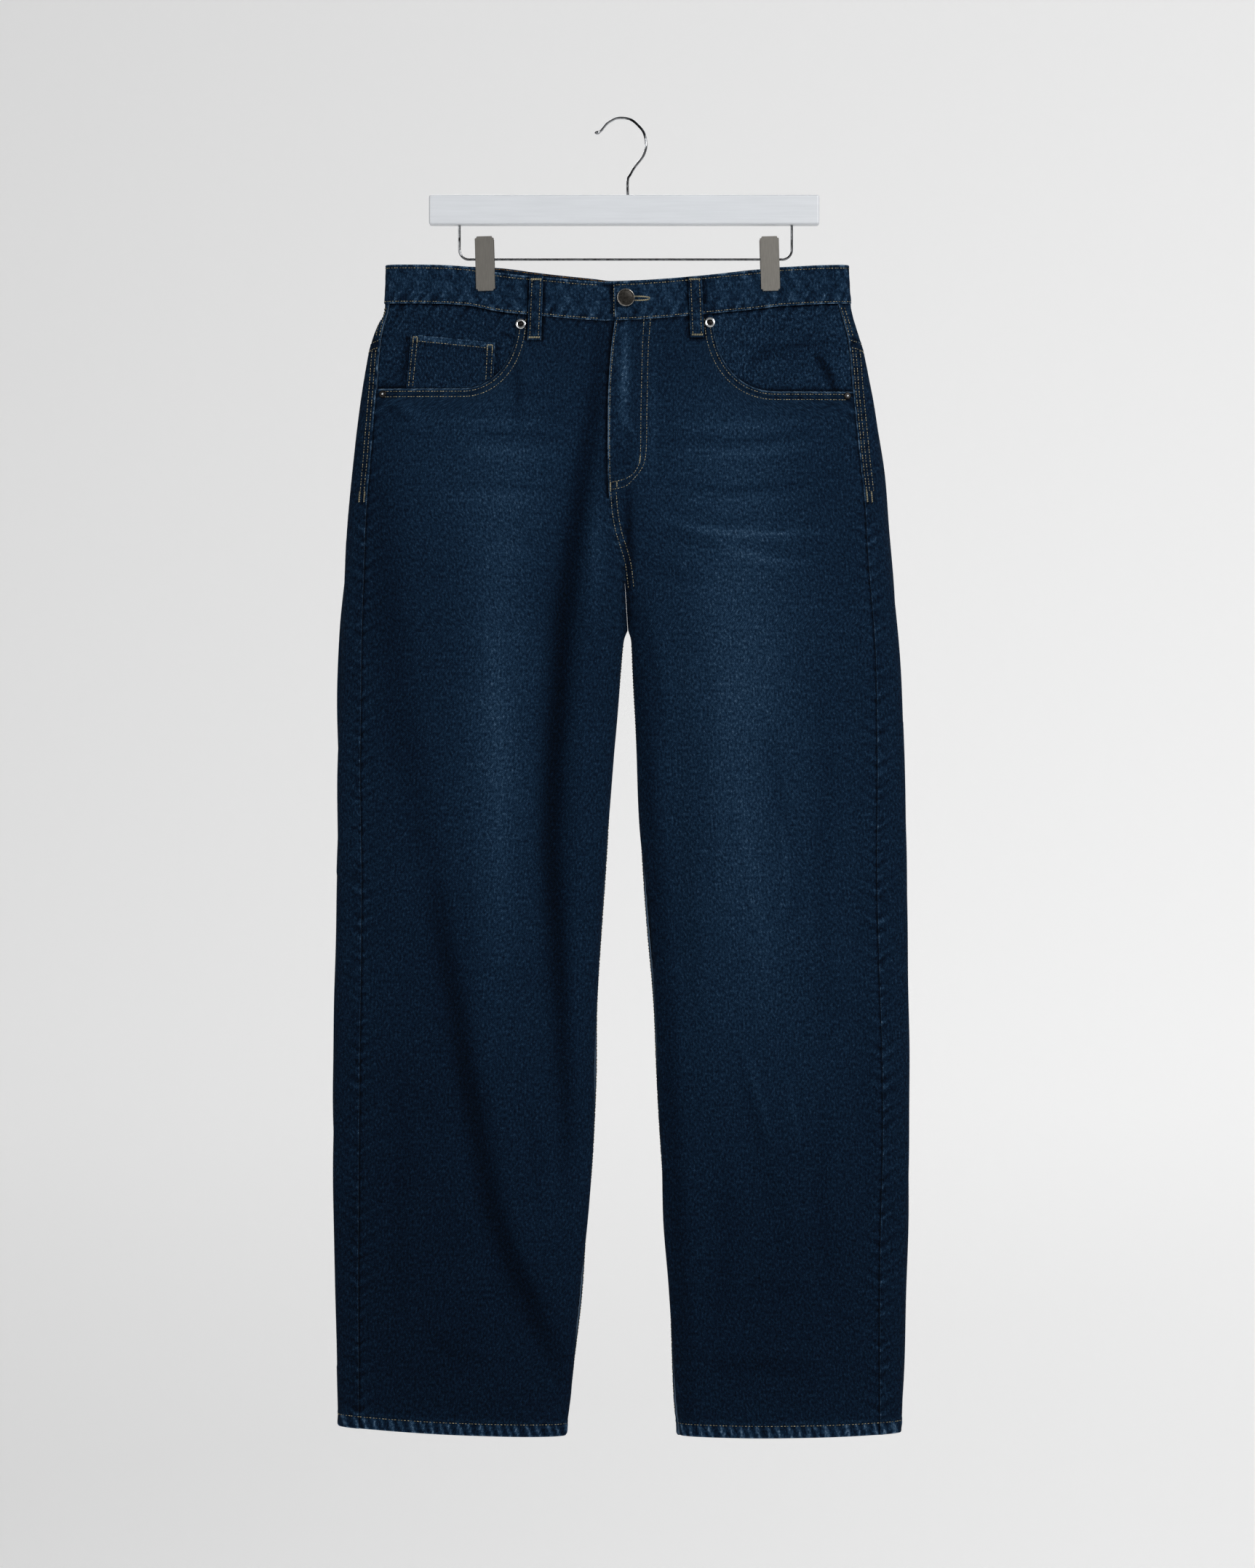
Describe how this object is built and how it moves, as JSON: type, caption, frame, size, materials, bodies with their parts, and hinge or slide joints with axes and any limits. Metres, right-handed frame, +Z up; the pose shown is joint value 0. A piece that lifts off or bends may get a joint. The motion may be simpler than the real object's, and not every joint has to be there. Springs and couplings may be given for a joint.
{
  "type": "loose fit jeans on a clip hanger",
  "caption": "Loose straight five-pocket denim jeans with a buttoned waistband, hanging flat by their waistband from a bar hanger with sprung clips and a wire hook.",
  "frame": {"origin": "inside of the hook's crown, where a rail or wall hook carries the hanger", "axes": "+Z up, +X at the viewer's right as the front is seen (the wearer's left), -Y out of the front of the jeans, +Y towards the wall behind"},
  "size_m": [0.5372, 0.0705, 1.2327],
  "materials": {
    "denim": "faded indigo cotton twill",
    "denim_facing": "darker unfaded indigo cotton twill",
    "painted_bar": "white lacquer, satin",
    "chrome": "polished",
    "nickel": "fine brushed nickel plate",
    "pewter": "dark antique plate, satin",
    "silver": "bright nickel plate"
  },
  "bodies": {
    "root": {"front_panel_right": "denim", "back_yoke_right": "denim", "back_panel_right": "denim", "back_pocket_right": "denim", "pocket_facing_right": "denim_facing", "front_panel_left": "denim", "back_yoke_left": "denim", "back_panel_left": "denim", "back_pocket_left": "denim", "pocket_facing_left": "denim_facing", "coin_pocket": "denim_facing", "waistband": "denim", "belt_loop_front_right": "denim", "belt_loop_front_left": "denim", "belt_loop_back_right": "denim", "belt_loop_back_left": "denim", "belt_loop_centre_back": "denim", "tack_button": "pewter", "rivet_pocket_right": "silver", "rivet_pocket_left": "silver", "rivet_side_right": "pewter", "rivet_side_left": "pewter", "hanger_bar": "painted_bar", "hook": "chrome", "cross_wire": "chrome", "clip_front_plate_right": "nickel", "clip_back_plate_right": "nickel", "clip_barrel_right": "nickel", "clip_front_plate_left": "nickel", "clip_back_plate_left": "nickel", "clip_barrel_left": "nickel"}
  },
  "joints": []
}
